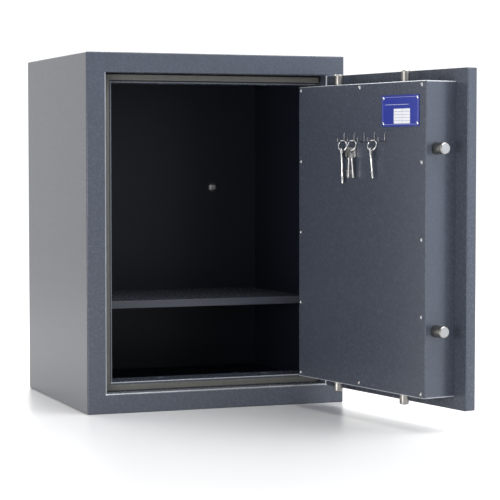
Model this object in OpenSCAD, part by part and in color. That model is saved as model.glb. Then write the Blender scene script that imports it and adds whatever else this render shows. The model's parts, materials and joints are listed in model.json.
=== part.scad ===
// Free-standing safe with a key lock, a quarter-turn handle and bolts on three sides of its door.
// The origin is the middle of the cabinet's base. The front faces -Y and the hinges are on the +X side.
// The door and all that it carries are drawn closed and then turned open about the hinge axis.

/* [Cabinet] */
// Outside width of the cabinet
body_w = 500; // [420:10:640]
// Outside height of the cabinet
body_h = 650; // [540:10:900]
// Outside depth of the cabinet
body_d = 420; // [340:10:560]
// Thickness of the side, top and bottom walls
wall_t = 36.5; // [30:0.5:46]
// Thickness of the rear wall
rear_wall_t = 54; // [45:1:80]
// Thickness of the outer casing and front frame sheet
casing_t = 3; // [2:0.5:4]
// Thickness of the inner liner sheet
liner_t = 2; // [1:0.5:3]
// Radius of the folded sheet edges
fold_r = 3; // [1:0.5:3.5]

/* [Front rebate] */
// Gap between the closed door plate and the fire seal strip
seal_gap = 2; // [1:0.5:4]
// Height of the strike rails above the opening's edge
rail_h = 17; // [15:0.5:20]
// Depth of the strike rails from front to back
rail_d = 60; // [56:1:70]
// Sheet thickness of the strike rails
rail_t = 3; // [2:0.5:4]
// Width of the fire seal strip
seal_w = 10; // [6:0.5:12]
// Thickness of the fire seal strip
seal_t = 4; // [1:0.5:6]
// Distance of the fire seal strip from the opening's edge
seal_off = 2.5; // [1:0.5:4]

/* [Shelf and anchors] */
// Height of the shelf's top face above the floor
shelf_z = 195; // [120:5:300]
// Thickness of the shelf sheet
shelf_t = 2; // [1.5:0.5:3]
// Height of the shelf's folded lip
shelf_lip = 14; // [10:1:30]
// Distance of the shelf's front edge behind the front face
shelf_front = 100; // [98:1:140]
// Gap between the shelf and the liner at its sides and back
shelf_gap = 1; // [0.5:0.5:2]
// Diameter of the shelf pegs
peg_d = 8; // [6:0.5:10]
// Length of the shelf pegs inside the liner
peg_out = 10; // [8:1:16]
// Distance of the pegs from the shelf's front and back edges
peg_inset = 32; // [20:1:60]
// Bore of the anchor sleeves
anchor_d = 14; // [10:0.5:16]
// Outside diameter of the anchor sleeves
sleeve_d = 20; // [18:0.5:26]
// Distance between the two anchor sleeves of a pair
anchor_pitch = 240; // [160:10:300]
// Height of the rear anchor sleeves
anchor_rear_z = 400; // [320:10:480]
// Distance of the floor anchor sleeves behind the front face
anchor_floor_y = 230; // [200:10:250]

/* [Door] */
// Angle that the door stands open
open_angle = 100; // [0:1:180]
// Gap between the door plate and the front frame
door_gap = 2.5; // [2:0.5:4]
// Thickness of the door plate
plate_t = 20.5; // [16:0.5:24]
// Thickness of the door's front sheet
skin_t = 4; // [3:0.5:6]
// Thickness of the door skin's folded rim
rim_t = 3; // [2:0.5:4]
// Thickness of the door's back sheet
back_t = 2; // [1.5:0.5:3]

/* [Hinges] */
// Distance of the hinge axis outside the opening's edge
hinge_side = 15.5; // [12:0.5:20]
// Distance of the hinge axis in front of the front face
hinge_out = 12; // [11.5:0.5:16]
// Diameter of the hinge barrels
barrel_d = 18; // [16:0.5:20]
// Diameter of the hinge pins
hinge_pin_d = 10; // [8:0.5:11]
// Length of each hinge knuckle
knuckle_len = 40; // [30:1:60]
// Space for the washer between two knuckles
washer_space = 2; // [1.5:0.5:3]
// Thickness of the hinge leaves
leaf_t = 6; // [5:0.5:8]
// Width of the hinge leaves from the barrel's axis or the plate's edge
leaf_w = 17; // [15:1:18]
// Distance of each hinge from the top or bottom of the opening
hinge_end = 80; // [60:5:110]

/* [Bolt case] */
// Distance of the case from the plate's leading edge
case_lead = 31; // [28:1:40]
// Distance of the case from the plate's hinge edge
case_hinge = 1.5; // [1:0.5:10]
// Distance of the case from the plate's top and bottom edges
case_end = 21.5; // [20:0.5:30]
// Depth of the case from the back sheet to the cover
case_d = 60; // [56:1:62]
// Sheet thickness of the case
case_t = 2; // [1.5:0.5:3]
// Width of the flange that the cover is screwed to
flange_w = 20; // [18:1:26]
// Thickness of the inner cover
cover_t = 1.5; // [1:0.5:2.5]
// Radius of the case's folded corners
case_r = 2; // [1:0.5:3]
// Shank diameter of the cover screws
screw_d = 4; // [3:0.5:5]
// Head diameter of the cover screws
screw_head_d = 7; // [6:0.5:8]
// Distance of the screws from the cover's hinge edge
screw_in_hinge = 5; // [4:0.5:8]
// Distance of the screws from the cover's leading edge
screw_in_lead = 12.5; // [8:0.5:15]
// Distance of the screws from the cover's top and bottom edges
screw_in_end = 7; // [5:0.5:10]

/* [Bolts] */
// Diameter of the top and bottom bolts
end_bolt_d = 16; // [12:1:18]
// Diameter of the side bolts
side_bolt_d = 20; // [14:1:20]
// Travel of all bolts
bolt_travel = 20; // [16:1:22]
// Distance of the bolt axes behind the door plate
bolt_off = 39.5; // [36:0.5:41]
// How far the thrown top and bottom bolts stand out of the case
end_bolt_out = 20; // [20:0.5:22]
// How far the thrown side bolts stand out of the case
side_bolt_out = 25; // [24:0.5:26]
// Distance of the first top and bottom bolt from the case's leading side
end_bolt_lead = 89; // [60:1:110]
// Distance of the second top and bottom bolt from the case's hinge side
end_bolt_hinge = 97; // [60:1:110]
// Distance between the two side bolts
side_bolt_pitch = 304; // [200:2:320]
// Length of a thrown top or bottom bolt inside the case
end_bolt_in = 40; // [36:1:60]
// Length of a thrown side bolt inside the case
side_bolt_in = 28; // [26:1:40]
// Section of the square bolt bars
bar_w = 12; // [10:1:14]
// Clearance of a bolt hole round its bolt
hole_clear = 4; // [2:0.5:5]
// Chamfer at the bolt tips
bolt_chamfer = 1.5; // [0.5:0.5:3]

/* [Handle and lock] */
// Distance of the handle spindle from the case's leading side
spindle_in = 100; // [90:1:120]
// Diameter of the handle spindle
spindle_d = 12; // [10:0.5:14]
// Length of the handle lever from the spindle's axis
lever_len = 105; // [80:5:130]
// Diameter of the drive pins
drive_pin_d = 8; // [6:0.5:8]
// Side clearance of a drive pin in its fork
fork_clear = 0.6; // [0.5:0.1:1]
// Thickness of the drive disc
disc_t = 5; // [4:0.5:6]
// Thickness of the bolt bars' arms
arm_t = 4; // [3:0.5:4.5]
// Height of the lock above the handle spindle
lock_up = 95; // [85:1:110]
// Travel of the lock bolt
lock_travel = 10; // [8:0.5:12]
// Diameter of the lock barrel
lock_barrel_d = 12; // [10:0.5:13]
// Thickness of the hard plate behind the lock
hard_t = 4; // [3:0.5:5]

/* [Cover fittings] */
// Width of the type plate
tag_w = 108; // [60:1:120]
// Height of the type plate
tag_h = 53; // [30:1:60]
// Distance of the type plate from the cover's leading edge
tag_lead = 18.5; // [18:0.5:40]
// Distance of the type plate from the cover's top edge
tag_top = 22.5; // [20:0.5:40]
// Number of key hooks
hook_count = 5; // [3:1:6]
// Distance between two key hooks
hook_pitch = 31; // [26:1:40]
// Distance of the middle of the hooks from the cover's leading edge
hook_lead = 178; // [150:1:220]
// Distance of the hooks below the cover's top edge
hook_top = 100.5; // [95:0.5:120]
// Diameter of the key hooks' wire
hook_d = 2.2; // [1.8:0.1:2.6]
// Length of the key hooks in front of the cover
hook_len = 15; // [13:0.5:16]
// Length of the hooks' wire that lies against the cover
hook_back = 15; // [12:0.5:20]
// Height of the hooks' turned-up tips
hook_rise = 6; // [4:0.5:8]
// Length of the short keys from top to tip
key_len = 53; // [45:1:60]
// Length of the long key from top to tip
long_key_len = 62; // [55:1:70]

/* [Hidden] */
$fn = 48;

// Colours
graphite = [0.27, 0.29, 0.33];
deep_grey = [0.20, 0.21, 0.24];
steel = [0.72, 0.73, 0.74];
bright_steel = [0.85, 0.86, 0.87];
brass = [0.78, 0.64, 0.33];
olive = [0.33, 0.34, 0.30];
mineral = [0.72, 0.70, 0.65];
plate_blue = [0.13, 0.20, 0.55];

// Small overlap that makes a cut pass right through a face
past = 1;
// Radial clearance of a running fit
run = 0.05;
// Radial clearance of a fixed insert in its hole
snug = 0.1;
// Gap between flat faces of two moving pieces
face_gap = 0.2;

// Cabinet
front_y = -body_d / 2;
function depth(d) = front_y + d;
body_x = [-body_w / 2, body_w / 2];
body_z = [0, body_h];
open_x = [body_x[0] + wall_t, body_x[1] - wall_t];
open_z = [wall_t, body_h - wall_t];
function grow(span, by) = [span[0] - by, span[1] + by];
cave_back = depth(body_d - rear_wall_t);
rebate_d = plate_t + seal_gap + seal_t;
rail_y = [depth(rebate_d), depth(rebate_d + rail_d)];
shelf_x = grow(open_x, -shelf_gap);
shelf_y = [depth(shelf_front), cave_back - shelf_gap];
peg_z = shelf_z - shelf_t - peg_d / 2;
peg_y = [shelf_y[0] + peg_inset, shelf_y[1] - peg_inset];
anchor_x = [-anchor_pitch / 2, anchor_pitch / 2];

// Door plate and bolt case, in the closed place
plate_x = grow(open_x, -door_gap);
plate_z = grow(open_z, -door_gap);
plate_back = depth(plate_t);
case_x = [plate_x[0] + case_lead, plate_x[1] - case_hinge];
case_z = grow(plate_z, -case_end);
cover_y = [depth(plate_t + case_d), depth(plate_t + case_d + cover_t)];
mid_z = body_h / 2;

// Hinges
hinge_x = open_x[1] + hinge_side;
hinge_y = depth(-hinge_out);
hinge_len = 2 * knuckle_len + washer_space;
hinge_z = [open_z[0] + hinge_end, open_z[1] - hinge_end - hinge_len];
leaf_lift = 0.8;
pin_head_h = 3;

// Bolts
bolt_y = depth(plate_t + bolt_off);
end_bolt_x = [case_x[0] + end_bolt_lead, case_x[1] - end_bolt_hinge];
side_bolt_z = [mid_z - side_bolt_pitch / 2, mid_z + side_bolt_pitch / 2];
bar_y = [bolt_y - bar_w / 2, bolt_y + bar_w / 2];
side_bar_x = [case_x[0] + side_bolt_in, case_x[0] + side_bolt_in + bar_w];
top_bar_z = [case_z[1] - end_bolt_in - bar_w, case_z[1] - end_bolt_in];
bottom_bar_z = [case_z[0] + end_bolt_in, case_z[0] + end_bolt_in + bar_w];
bar_overhang = 12;
bush_wall = 4;
bush_len = 12;
bolt_gap = 0.5;
bolt_screw_d = 6;
bolt_screw_grip = 12;
bolt_screw_head_d = 10;
bolt_screw_head_h = 5;

// Drive disc: three pins on one circle turn a quarter and push three forks, each by the bolt travel
spindle_x = case_x[0] + spindle_in;
spindle_z = mid_z;
drive_r = bolt_travel / sqrt(2);
drive_side = bolt_travel / 2;
disc_r = drive_r + drive_pin_d / 2 + 4;
layer_gap = 2;
disc_y = [depth(plate_t + hard_t + 3), depth(plate_t + hard_t + 3 + disc_t)];
bottom_arm_y = [disc_y[1] + layer_gap, disc_y[1] + layer_gap + arm_t];
side_arm_y = [bottom_arm_y[1] + layer_gap, bottom_arm_y[1] + layer_gap + arm_t];
top_arm_y = [bar_y[0] - arm_t, bar_y[0]];
fork_half = drive_pin_d / 2 + fork_clear;
prong = 5;
fork_reach = drive_r + drive_pin_d / 2 + 1;
arm_reach = fork_reach + prong;
fork_mouth = drive_side - drive_pin_d / 2 - 1;

// Lock: its barrel has an eccentric pin that moves the lock bolt into a notch of the top bar's arm
lock_gap = 6;
lock_wall = 2.5;
lock_size = [84, 70];
lock_x = [spindle_x + arm_reach + lock_gap, spindle_x + arm_reach + lock_gap + lock_size[0]];
lock_z = spindle_z + lock_up;
lock_zz = [lock_z - lock_size[1] / 2, lock_z + lock_size[1] / 2];
lock_y = [depth(plate_t + hard_t), top_arm_y[1] + 3];
lock_lid_t = 2;
lock_post = 9;
lock_post_in = lock_wall + lock_post / 2;
barrel_x = lock_x[0] + 45;
lock_pin_d = 5;
lock_pin_r = lock_travel / sqrt(2);
lock_bolt_h = 16;
lock_bolt_rest = 1.5;
lock_clear = 0.3;
lock_fork_clear = 0.4;
barrel_flange_d = 42;
barrel_flange_t = 4;

// Front fittings
key_tube_d = 14;
bush_d = 18;
rosette_d = 54;
rosette_t = 9;
hub_d = 30;
hub_y = [depth(-48), depth(-rosette_t - 0.5)];
lever_y = [depth(-46), depth(-32)];
lever_h = 16;
grub_d = 5;
grub_y = (lever_y[1] + hub_y[1]) / 2;
scutcheon_t = 3;
scutcheon_x = [barrel_x - 17, barrel_x + 17];
scutcheon_z = [lock_z - 20, lock_z + 28];
flap_y = [depth(-scutcheon_t - face_gap - 2), depth(-scutcheon_t - face_gap)];
flap_pivot_z = lock_z + 18;
flap_r = 11;
pivot_d = 4;

// Cover fittings
tag_x = [case_x[0] + tag_lead, case_x[0] + tag_lead + tag_w];
tag_z = [case_z[1] - tag_top - tag_h, case_z[1] - tag_top];
tag_t = 0.8;
rivet_d = 2.4;
rivet_in = 5;
hook_z = case_z[1] - hook_top;
function hook_x(i) = case_x[0] + hook_lead + ((hook_count - 1) / 2 - i) * hook_pitch;
hook_back_y = cover_y[1] + hook_d / 2 + 0.1;
hook_fix_z = hook_z + hook_back;
hook_nut_d = 6;
hook_nut_t = 3;

// Keys: each ring hangs on its hook, turned a little out of the cover's plane and leaning away from it
ring_r = 9;
wire_r = 0.9;
ring_turn = 18;
ring_lean = [9, 18, 18];
ring_off = hook_back_y + hook_d / 2 - cover_y[1] + wire_r + 0.6;
ring_y = cover_y[1] + ring_off;
ring_top = hook_z + hook_d / 2 + 0.3 + wire_r;
key_t = 2.4;
bow_w = 14;
bow_h = 18;
key_hole_r = 3.4;
key_play = 1;
key_drop = key_hole_r - wire_r - key_play;
bow_top = key_hole_r + 3;
shank_d = 4;
bit_w = 5;
bit_h = 11;

// Helpers
module block(x, y, z)
    translate([x[0], y[0], z[0]])
        cube([x[1] - x[0], y[1] - y[0], z[1] - z[0]]);

module rod_x(x, y, z, r)
    translate([x[0], y, z])
        rotate([0, 90, 0])
            cylinder(h = x[1] - x[0], r = r);

module rod_y(x, y, z, r)
    translate([x, y[0], z])
        rotate([-90, 0, 0])
            cylinder(h = y[1] - y[0], r = r);

module rod_z(x, y, z, r)
    translate([x, y, z[0]])
        cylinder(h = z[1] - z[0], r = r);

function corner_arc(cx, cy, r, from) =
    [for (a = [0 : 22.5 : 90]) [cx + r * cos(from + a), cy + r * sin(from + a)]];

// A sheet in the XZ plane with rounded corners
module panel(x, y, z, r)
    translate([0, y[1], 0])
        rotate([90, 0, 0])
            linear_extrude(y[1] - y[0])
                polygon(concat(
                    corner_arc(x[1] - r, z[1] - r, r, 0),
                    corner_arc(x[0] + r, z[1] - r, r, 90),
                    corner_arc(x[0] + r, z[0] + r, r, 180),
                    corner_arc(x[1] - r, z[0] + r, r, 270)));

// Stock to take off a square edge along +Z to round it, with the solid on the +X and +Y side
module edge_stock(len, r)
    linear_extrude(len)
        polygon(concat(
            [[-past, -past], [r, -past]],
            [for (a = [90 : -22.5 : 0]) [r - r * cos(a), r - r * sin(a)]],
            [[-past, r]]));

module left_edge(x, y, z, r)
    translate([x, y, z[0]])
        edge_stock(z[1] - z[0], r);

module right_edge(x, y, z, r)
    translate([x, y, z[0]])
        mirror([1, 0, 0])
            edge_stock(z[1] - z[0], r);

module low_edge(x, y, z, r)
    translate([x[0], y, z])
        mirror([0, 0, 1])
            rotate([0, 90, 0])
                edge_stock(x[1] - x[0], r);

module high_edge(x, y, z, r)
    translate([x[0], y, z])
        rotate([0, 90, 0])
            edge_stock(x[1] - x[0], r);

// Stock to take off the front edges round the outside of a plate
module plate_edges(x, y, z, r) {
    left_edge(x[0], y, grow(z, past), r);
    right_edge(x[1], y, grow(z, past), r);
    low_edge(grow(x, past), y, z[0], r);
    high_edge(grow(x, past), y, z[1], r);
}

// Stock to take out for an opening of a given depth whose front edges are rounded
module rounded_opening(x, y, z, r, deep) {
    steps = concat(
        [[-past, r]],
        [for (a = [0 : 22.5 : 90]) [r - r * cos(a), r - r * sin(a)]],
        [[deep, 0]]);
    last = 4 * (len(steps) - 1);
    points = [
        for (s = steps)
            let (gx = grow(x, s[1]), gz = grow(z, s[1]))
                each [
                    [gx[0], y + s[0], gz[0]],
                    [gx[1], y + s[0], gz[0]],
                    [gx[1], y + s[0], gz[1]],
                    [gx[0], y + s[0], gz[1]]
                ]
    ];
    sides = [
        for (i = [0 : 4 : last - 4])
            for (j = [0 : 3])
                let (k = (j + 1) % 4)
                    [i + j, i + k, i + 4 + k, i + 4 + j]
    ];
    polyhedron(points, concat([[3, 2, 1, 0]], sides, [[last, last + 1, last + 2, last + 3]]));
}

// Puts the closed door and what it carries into its open place
module on_door()
    translate([hinge_x, hinge_y, 0])
        rotate([0, 0, open_angle])
            translate([-hinge_x, -hinge_y, 0])
                children();

// Cabinet
module floor_anchor_holes(r, z)
    for (x = anchor_x)
        rod_z(x, depth(anchor_floor_y), z, r);

module rear_anchor_holes(r, y)
    for (x = anchor_x)
        rod_y(x, y, anchor_rear_z, r);

module outer_casing()
    color(graphite)
        difference() {
            panel(body_x, [depth(casing_t), depth(body_d - casing_t)], body_z, fold_r);
            block(grow(body_x, -casing_t), [depth(0), depth(body_d)], grow(body_z, -casing_t));
            floor_anchor_holes(sleeve_d / 2 + snug, [-past, casing_t + past]);
        }

module rear_panel()
    color(graphite)
        difference() {
            panel(body_x, [depth(body_d - casing_t), depth(body_d)], body_z, fold_r);
            rear_anchor_holes(sleeve_d / 2 + snug, [depth(body_d - casing_t) - past, depth(body_d) + past]);
        }

module front_frame()
    color(graphite)
        difference() {
            union() {
                panel(body_x, [depth(0), depth(casing_t)], body_z, fold_r);
                block(grow(open_x, casing_t), [depth(casing_t), depth(rebate_d)], grow(open_z, casing_t));
            }
            rounded_opening(open_x, front_y, open_z, fold_r, rebate_d + past);
            plate_edges(body_x, front_y, body_z, fold_r);
        }

module strike_rail_top()
    color(graphite)
        difference() {
            block(open_x, rail_y, [open_z[1] - rail_h, open_z[1]]);
            block(grow(open_x, past), grow(rail_y, -rail_t), [open_z[1] - rail_h + rail_t, open_z[1] + past]);
            for (x = end_bolt_x)
                rod_z(x, bolt_y, [open_z[1] - rail_h - past, open_z[1]], end_bolt_d / 2 + hole_clear);
        }

module strike_rail_bottom()
    color(graphite)
        difference() {
            block(open_x, rail_y, [open_z[0], open_z[0] + rail_h]);
            block(grow(open_x, past), grow(rail_y, -rail_t), [open_z[0] - past, open_z[0] + rail_h - rail_t]);
            for (x = end_bolt_x)
                rod_z(x, bolt_y, [open_z[0], open_z[0] + rail_h + past], end_bolt_d / 2 + hole_clear);
        }

module strike_rail_side()
    color(graphite)
        difference() {
            block([open_x[0], open_x[0] + rail_h], rail_y, grow(open_z, -rail_h));
            block([open_x[0] - past, open_x[0] + rail_h - rail_t], grow(rail_y, -rail_t), open_z);
            for (z = side_bolt_z)
                rod_x([open_x[0], open_x[0] + rail_h + past], bolt_y, z, side_bolt_d / 2 + hole_clear);
        }

module inner_liner()
    color(deep_grey)
        difference() {
            block(grow(open_x, liner_t), [depth(rebate_d), cave_back + liner_t], grow(open_z, liner_t));
            block(open_x, [depth(rebate_d - past), cave_back], open_z);
            peg_rows(peg_d / 2 + snug, past);
            floor_anchor_holes(sleeve_d / 2 + snug, [0, wall_t + past]);
            rear_anchor_holes(sleeve_d / 2 + snug, [cave_back - past, depth(body_d)]);
        }

module wall_filling()
    color(mineral)
        difference() {
            block(grow(body_x, -casing_t), [depth(casing_t), depth(body_d - casing_t)],
                grow(body_z, -casing_t));
            block(grow(open_x, liner_t), [depth(0), cave_back + liner_t], grow(open_z, liner_t));
            block(grow(open_x, casing_t), [depth(0), depth(rebate_d)], grow(open_z, casing_t));
            floor_anchor_holes(sleeve_d / 2 + snug, [0, wall_t]);
            rear_anchor_holes(sleeve_d / 2 + snug, [cave_back, depth(body_d)]);
        }

module fire_seal() {
    strip_x = [open_x[0] + seal_off, open_x[1] - 2 * seal_off];
    strip_y = [depth(rebate_d - seal_t), depth(rebate_d)];
    color(olive) {
        block(strip_x, strip_y, [open_z[0] + seal_off, open_z[0] + seal_off + seal_w]);
        block(strip_x, strip_y, [open_z[1] - seal_off - seal_w, open_z[1] - seal_off]);
        block([strip_x[0], strip_x[0] + seal_w], strip_y, grow(open_z, -seal_off));
    }
}

module shelf()
    color(graphite) {
        block(shelf_x, shelf_y, [shelf_z - shelf_t, shelf_z]);
        block(shelf_x, [shelf_y[0], shelf_y[0] + shelf_t], [shelf_z - shelf_lip, shelf_z]);
        block(shelf_x, [shelf_y[1] - shelf_t, shelf_y[1]], [shelf_z - shelf_lip, shelf_z]);
    }

module peg_rows(r, extra)
    for (y = peg_y) {
        rod_x([open_x[0] - liner_t - extra, open_x[0] + peg_out], y, peg_z, r);
        rod_x([open_x[1] - peg_out, open_x[1] + liner_t + extra], y, peg_z, r);
    }

module shelf_pegs()
    color(steel)
        peg_rows(peg_d / 2, 0);

module anchor_sleeves()
    color(steel)
        difference() {
            union() {
                floor_anchor_holes(sleeve_d / 2, [0, wall_t]);
                rear_anchor_holes(sleeve_d / 2, [cave_back, depth(body_d)]);
            }
            floor_anchor_holes(anchor_d / 2, [-past, wall_t + past]);
            rear_anchor_holes(anchor_d / 2, [cave_back - past, depth(body_d) + past]);
        }

// Hinges
module hinge_frame_knuckles()
    color(graphite)
        for (z = hinge_z)
            difference() {
                union() {
                    rod_z(hinge_x, hinge_y, [z, z + knuckle_len], barrel_d / 2);
                    block([hinge_x, hinge_x + leaf_w], [depth(-leaf_t), depth(0)], [z, z + knuckle_len]);
                }
                rod_z(hinge_x, hinge_y, [z - past, z + knuckle_len + past], hinge_pin_d / 2 + run);
            }

module hinge_door_knuckles()
    color(graphite)
        on_door()
            for (z = hinge_z) {
                span = [z + knuckle_len + washer_space, z + hinge_len];
                difference() {
                    union() {
                        rod_z(hinge_x, hinge_y, span, barrel_d / 2);
                        block([plate_x[1] - leaf_w, hinge_x], [depth(-leaf_t), depth(-leaf_lift)], span);
                        block([plate_x[1] - leaf_w, plate_x[1] - fold_r], [depth(-leaf_t), depth(0)], span);
                    }
                    rod_z(hinge_x, hinge_y, grow(span, past), hinge_pin_d / 2 + run);
                }
            }

module hinge_pins()
    color(bright_steel)
        for (z = hinge_z) {
            head_z = z + hinge_len + face_gap;
            rod_z(hinge_x, hinge_y, [z, head_z], hinge_pin_d / 2);
            rod_z(hinge_x, hinge_y, [head_z, head_z + pin_head_h], barrel_d / 2 - 1);
        }

module hinge_washers()
    color(brass)
        for (z = hinge_z) {
            span = [z + knuckle_len + face_gap, z + knuckle_len + washer_space - face_gap];
            difference() {
                rod_z(hinge_x, hinge_y, span, barrel_d / 2);
                rod_z(hinge_x, hinge_y, grow(span, past), hinge_pin_d / 2 + run);
            }
        }

// Door plate
module plate_holes(y) {
    rod_y(spindle_x, grow(y, past), spindle_z, bush_d / 2 + snug);
    rod_y(barrel_x, grow(y, past), lock_z, key_tube_d / 2 + snug);
}

module door_skin()
    color(graphite)
        on_door()
            difference() {
                panel(plate_x, [depth(0), depth(plate_t - back_t)], plate_z, fold_r);
                block(grow(plate_x, -rim_t), [depth(skin_t), depth(plate_t)], grow(plate_z, -rim_t));
                plate_holes([depth(0), depth(skin_t)]);
                plate_edges(plate_x, front_y, plate_z, fold_r);
            }

module door_filling()
    color(mineral)
        on_door()
            difference() {
                block(grow(plate_x, -rim_t), [depth(skin_t), depth(plate_t - back_t)], grow(plate_z, -rim_t));
                plate_holes([depth(skin_t), depth(plate_t)]);
            }

module door_back_sheet()
    color(graphite)
        on_door()
            difference() {
                panel(plate_x, [depth(plate_t - back_t), plate_back], plate_z, fold_r);
                plate_holes([depth(plate_t - back_t), plate_back]);
            }

// Bolt case and cover
module screw_places()
    union() {
        for (i = [0 : 4]) {
            z = case_z[0] + screw_in_end + i * (case_z[1] - case_z[0] - 2 * screw_in_end) / 4;
            translate([case_x[0] + screw_in_lead, 0, z])
                children();
            translate([case_x[1] - screw_in_hinge, 0, z])
                children();
        }
        for (z = grow(case_z, -screw_in_end))
            translate([(case_x[0] + case_x[1]) / 2, 0, z])
                children();
    }

// Rods on the six bolt axes, from a depth inside the case's walls to a distance outside them
module bolt_rods(wall, inside, outside) {
    for (x = end_bolt_x) {
        rod_z(x, bolt_y, [case_z[1] - inside, case_z[1] + outside], end_bolt_d / 2 + wall);
        rod_z(x, bolt_y, [case_z[0] - outside, case_z[0] + inside], end_bolt_d / 2 + wall);
    }
    for (z = side_bolt_z)
        rod_x([case_x[0] - outside, case_x[0] + inside], bolt_y, z, side_bolt_d / 2 + wall);
}

module bolt_case()
    color(graphite)
        on_door()
            difference() {
                panel(case_x, [plate_back, cover_y[0]], case_z, case_r);
                block(grow(case_x, -case_t), [plate_back - past, cover_y[0] - case_t], grow(case_z, -case_t));
                block(grow(case_x, -flange_w), [plate_back, cover_y[0] + past], grow(case_z, -flange_w));
                screw_places()
                    rod_y(0, [cover_y[0] - case_t - past, cover_y[0] + past], 0, screw_d / 2 + snug);
                bolt_rods(bolt_gap, case_t + past, past);
            }

module inner_cover()
    color(graphite)
        on_door()
            difference() {
                panel(case_x, cover_y, case_z, case_r);
                screw_places()
                    rod_y(0, grow(cover_y, past), 0, screw_d / 2 + snug);
                for (i = [0 : hook_count - 1])
                    rod_y(hook_x(i), grow(cover_y, past), hook_fix_z, hook_d / 2 + snug);
                rivet_places()
                    rod_y(0, grow(cover_y, past), 0, rivet_d / 2 + snug);
            }

// A low round head that stands on the plane y
module dome(y, r, h)
    intersection() {
        sphere_r = (r * r + h * h) / (2 * h);
        translate([0, y + h - sphere_r, 0])
            sphere(r = sphere_r);
        rod_y(0, [y, y + h + past], 0, r);
    }

module cover_screws()
    color(bright_steel)
        on_door()
            screw_places() {
                rod_y(0, [cover_y[0] - case_t - 4, cover_y[1]], 0, screw_d / 2);
                dome(cover_y[1], screw_head_d / 2, 2.2);
            }

module rivet_places()
    for (x = grow(tag_x, -rivet_in), z = grow(tag_z, -rivet_in))
        translate([x, 0, z])
            children();

module type_plate()
    color(plate_blue)
        on_door()
            difference() {
                panel(tag_x, [cover_y[1], cover_y[1] + tag_t], tag_z, 2);
                rivet_places()
                    rod_y(0, [cover_y[1] - past, cover_y[1] + tag_t + past], 0, rivet_d / 2 + snug);
            }

module plate_rivets()
    color(bright_steel)
        on_door()
            rivet_places() {
                rod_y(0, [cover_y[0] - 1, cover_y[1] + tag_t], 0, rivet_d / 2);
                dome(cover_y[1] + tag_t, rivet_d, 1);
            }

// Wire hooks: fixed at the top, down the cover, outwards and up at the tip
module key_hooks()
    color(deep_grey)
        on_door()
            for (i = [0 : hook_count - 1])
                translate([hook_x(i), 0, 0]) {
                    tip_y = cover_y[1] + hook_len;
                    rod_y(0, [cover_y[0] - hook_nut_t, hook_back_y], hook_fix_z, hook_d / 2);
                    rod_y(0, [cover_y[0] - hook_nut_t, cover_y[0]], hook_fix_z, hook_nut_d / 2);
                    rod_z(0, hook_back_y, [hook_z, hook_fix_z], hook_d / 2);
                    rod_y(0, [hook_back_y, tip_y], hook_z, hook_d / 2);
                    rod_z(0, tip_y, [hook_z, hook_z + hook_rise], hook_d / 2);
                    for (p = [[hook_back_y, hook_fix_z], [hook_back_y, hook_z],
                            [tip_y, hook_z], [tip_y, hook_z + hook_rise]])
                        translate([0, p[0], p[1]])
                            sphere(d = hook_d);
                }

module bolt_bushes()
    color(deep_grey)
        on_door()
            difference() {
                bolt_rods(bush_wall, case_t + bush_len, -case_t);
                bolt_rods(run, case_t + bush_len + past, past);
            }

// Lock and handle fittings that stay on the door
module hard_plate()
    color(steel)
        on_door()
            difference() {
                block([spindle_x - 30, lock_x[1]], [plate_back, plate_back + hard_t],
                    [spindle_z - 30, lock_zz[1]]);
                plate_holes([plate_back, plate_back + hard_t]);
            }

module spindle_bush()
    color(brass)
        on_door()
            difference() {
                rod_y(spindle_x, [depth(0), plate_back + hard_t], spindle_z, bush_d / 2);
                rod_y(spindle_x, [depth(-past), plate_back + hard_t + past], spindle_z, spindle_d / 2 + run);
            }

module handle_rosette()
    color(steel)
        on_door()
            difference() {
                rod_y(spindle_x, [depth(-rosette_t), depth(0)], spindle_z, rosette_d / 2);
                rod_y(spindle_x, [depth(-rosette_t - past), depth(past)], spindle_z, spindle_d / 2 + 0.3);
            }

module key_tube()
    color(steel)
        on_door()
            difference() {
                rod_y(barrel_x, [depth(0), plate_back + hard_t / 2], lock_z, key_tube_d / 2);
                rod_y(barrel_x, [depth(-past), plate_back + hard_t], lock_z, key_tube_d / 2 - 2);
            }

module keyhole_escutcheon()
    color(steel)
        on_door()
            difference() {
                panel(scutcheon_x, [depth(-scutcheon_t), depth(0)], scutcheon_z, 8);
                rod_y(barrel_x, [depth(-scutcheon_t - past), depth(past)], lock_z, key_tube_d / 2 - 2);
                rod_y(barrel_x, [depth(-scutcheon_t - past), depth(past)], flap_pivot_z, pivot_d / 2 + snug);
            }

module cover_pivot()
    color(bright_steel)
        on_door() {
            rod_y(barrel_x, [flap_y[0] - face_gap, depth(0)], flap_pivot_z, pivot_d / 2);
            rod_y(barrel_x, [flap_y[0] - face_gap - 1.4, flap_y[0] - face_gap], flap_pivot_z, pivot_d);
        }

module keyhole_cover()
    color(steel)
        on_door()
            difference() {
                union() {
                    rod_y(barrel_x, flap_y, lock_z, flap_r);
                    rod_y(barrel_x, flap_y, flap_pivot_z, 6);
                    block([barrel_x - 6, barrel_x + 6], flap_y, [lock_z, flap_pivot_z]);
                }
                rod_y(barrel_x, grow(flap_y, past), flap_pivot_z, pivot_d / 2 + run);
            }

module lock_post_places()
    for (x = grow(lock_x, -lock_post_in), z = grow(lock_zz, -lock_post_in))
        translate([x, 0, z])
            children();

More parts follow.
